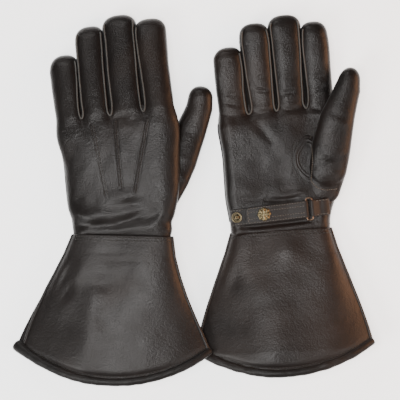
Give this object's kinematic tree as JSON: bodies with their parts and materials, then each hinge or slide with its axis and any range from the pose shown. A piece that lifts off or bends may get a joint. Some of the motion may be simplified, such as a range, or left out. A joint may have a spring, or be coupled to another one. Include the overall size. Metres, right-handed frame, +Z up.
{
  "type": "riding gloves",
  "caption": "Pair of long leather riding gauntlets with flared bound cuffs, one lying palm down and one palm up, and snap-closed wrist straps.",
  "frame": {"origin": "centre of the pair's footprint on the surface it lies on", "axes": "+Z up from the surface, +Y from the cuffs towards the fingertips, +X from the left glove towards the right glove"},
  "size_m": [0.3616, 0.3691, 0.0459],
  "materials": {
    "glove_leather": "soft drum-dyed leather, near black with a warm brown cast, semi-gloss",
    "cuff_leather": "slightly firmer leather of the same dye with fine pebble grain",
    "strip_leather": "thin leather of the finger side strips, raw grey-olive cut edges at the seams",
    "strap_leather": "folded strap leather with edge stitching",
    "antique_brass": "antiqued brass, dark in the recesses and rubbed bright on the high edges",
    "ring_wire": "antiqued copper-brown wire",
    "snap_metal": "dull plated snap metal"
  },
  "bodies": {
    "left_hand": {"left_hand_back": "glove_leather", "left_hand_palm": "glove_leather", "left_thumb_gusset": "glove_leather", "left_wrist_strap": "strap_leather", "left_ring_tab": "strap_leather", "left_snap_studs": "snap_metal"},
    "left_cuff": {"left_cuff_back": "cuff_leather", "left_cuff_palm": "cuff_leather", "left_cuff_welts": "cuff_leather", "left_cuff_hem": "cuff_leather"},
    "left_index": {"left_index_back": "glove_leather", "left_index_palm": "glove_leather", "left_index_fourchettes": "strip_leather"},
    "left_middle": {"left_middle_back": "glove_leather", "left_middle_palm": "glove_leather", "left_middle_fourchettes": "strip_leather"},
    "left_ring": {"left_ring_back": "glove_leather", "left_ring_palm": "glove_leather", "left_ring_fourchettes": "strip_leather"},
    "left_pinky": {"left_pinky_back": "glove_leather", "left_pinky_palm": "glove_leather", "left_pinky_fourchettes": "strip_leather"},
    "left_thumb": {"left_thumb_outer": "glove_leather", "left_thumb_inner": "glove_leather"},
    "left_strap_ring": {"left_strap_ring": "ring_wire"},
    "left_strap_flap": {"left_strap_flap": "strap_leather", "left_snap_cap": "antique_brass", "left_snap_socket": "snap_metal"},
    "right_hand": {"right_hand_back": "glove_leather", "right_hand_palm": "glove_leather", "right_thumb_gusset": "glove_leather", "right_wrist_strap": "strap_leather", "right_ring_tab": "strap_leather", "right_snap_studs": "snap_metal"},
    "right_cuff": {"right_cuff_back": "cuff_leather", "right_cuff_palm": "cuff_leather", "right_cuff_welts": "cuff_leather", "right_cuff_hem": "cuff_leather"},
    "right_index": {"right_index_back": "glove_leather", "right_index_palm": "glove_leather", "right_index_fourchettes": "strip_leather"},
    "right_middle": {"right_middle_back": "glove_leather", "right_middle_palm": "glove_leather", "right_middle_fourchettes": "strip_leather"},
    "right_ring": {"right_ring_back": "glove_leather", "right_ring_palm": "glove_leather", "right_ring_fourchettes": "strip_leather"},
    "right_pinky": {"right_pinky_back": "glove_leather", "right_pinky_palm": "glove_leather", "right_pinky_fourchettes": "strip_leather"},
    "right_thumb": {"right_thumb_outer": "glove_leather", "right_thumb_inner": "glove_leather"},
    "right_strap_ring": {"right_strap_ring": "ring_wire"},
    "right_strap_flap": {"right_strap_flap": "strap_leather", "right_snap_cap": "antique_brass", "right_snap_socket": "snap_metal"}
  },
  "joints": [
    {"name": "left_wrist_extension", "type": "hinge", "parent": "left_hand", "child": "left_cuff", "pos_m": [-0.07268, -0.03673, 0.03486], "axis": [-0.9959, 0.0226, -0.0872], "range_deg": [0, 30]},
    {"name": "left_index_flexion", "type": "hinge", "parent": "left_hand", "child": "left_index", "pos_m": [-0.03533, 0.091, 0.0193], "axis": [-0.9898, -0.1128, -0.0872], "range_deg": [0, 75]},
    {"name": "left_middle_flexion", "type": "hinge", "parent": "left_hand", "child": "left_middle", "pos_m": [-0.06527, 0.08759, 0.01666], "axis": [-0.9898, -0.1128, -0.0872], "range_deg": [0, 75]},
    {"name": "left_ring_flexion", "type": "hinge", "parent": "left_hand", "child": "left_ring", "pos_m": [-0.09396, 0.07979, 0.01409], "axis": [-0.9898, -0.1128, -0.0872], "range_deg": [0, 75]},
    {"name": "left_pinky_flexion", "type": "hinge", "parent": "left_hand", "child": "left_pinky", "pos_m": [-0.12192, 0.0766, 0.01163], "axis": [-0.9898, -0.1128, -0.0872], "range_deg": [0, 75]},
    {"name": "left_thumb_flexion", "type": "hinge", "parent": "left_hand", "child": "left_thumb", "pos_m": [-0.03163, 0.01025, 0.01867], "axis": [-0.9449, 0.3177, -0.079], "range_deg": [0, 40]},
    {"name": "left_ring_swing", "type": "hinge", "parent": "left_hand", "child": "left_strap_ring", "pos_m": [-0.04035, -0.0144, 0.0131], "axis": [0.1132, -0.9936, 0], "range_deg": [0, 25]},
    {"name": "left_flap_open", "type": "hinge", "parent": "left_strap_ring", "child": "left_strap_flap", "pos_m": [-0.04629, -0.01507, 0.01257], "axis": [0.1132, -0.9936, 0], "range_deg": [0, 105]},
    {"name": "right_wrist_flexion", "type": "hinge", "parent": "right_cuff", "child": "right_hand", "pos_m": [0.08671, -0.03175, 0.02], "axis": [0.9983, 0.0576, 0], "range_deg": [0, 30]},
    {"name": "right_index_flexion", "type": "hinge", "parent": "right_hand", "child": "right_index", "pos_m": [0.12582, 0.09494, 0.02], "axis": [0.9962, 0.0872, 0], "range_deg": [0, 75]},
    {"name": "right_middle_flexion", "type": "hinge", "parent": "right_hand", "child": "right_middle", "pos_m": [0.09569, 0.0923, 0.02], "axis": [0.9962, 0.0872, 0], "range_deg": [0, 75]},
    {"name": "right_ring_flexion", "type": "hinge", "parent": "right_hand", "child": "right_ring", "pos_m": [0.06669, 0.08525, 0.02], "axis": [0.9962, 0.0872, 0], "range_deg": [0, 75]},
    {"name": "right_pinky_flexion", "type": "hinge", "parent": "right_hand", "child": "right_pinky", "pos_m": [0.03855, 0.08279, 0.02], "axis": [0.9962, 0.0872, 0], "range_deg": [0, 75]},
    {"name": "right_thumb_flexion", "type": "hinge", "parent": "right_hand", "child": "right_thumb", "pos_m": [0.12737, 0.01412, 0.02015], "axis": [0.9483, -0.3173, 0], "range_deg": [0, 40]},
    {"name": "right_ring_swing", "type": "hinge", "parent": "right_hand", "child": "right_strap_ring", "pos_m": [0.11756, -0.01033, 0.0247], "axis": [-0.0872, 0.9962, 0], "range_deg": [0, 25]},
    {"name": "right_flap_open", "type": "hinge", "parent": "right_strap_ring", "child": "right_strap_flap", "pos_m": [0.11159, -0.01085, 0.0247], "axis": [-0.0872, 0.9962, 0], "range_deg": [0, 105]},
    {"name": "left_glove_lift", "type": "slide", "parent": "right_cuff", "child": "left_hand", "axis": [0, 0, 1], "range_m": [0, 0.15]}
  ]
}
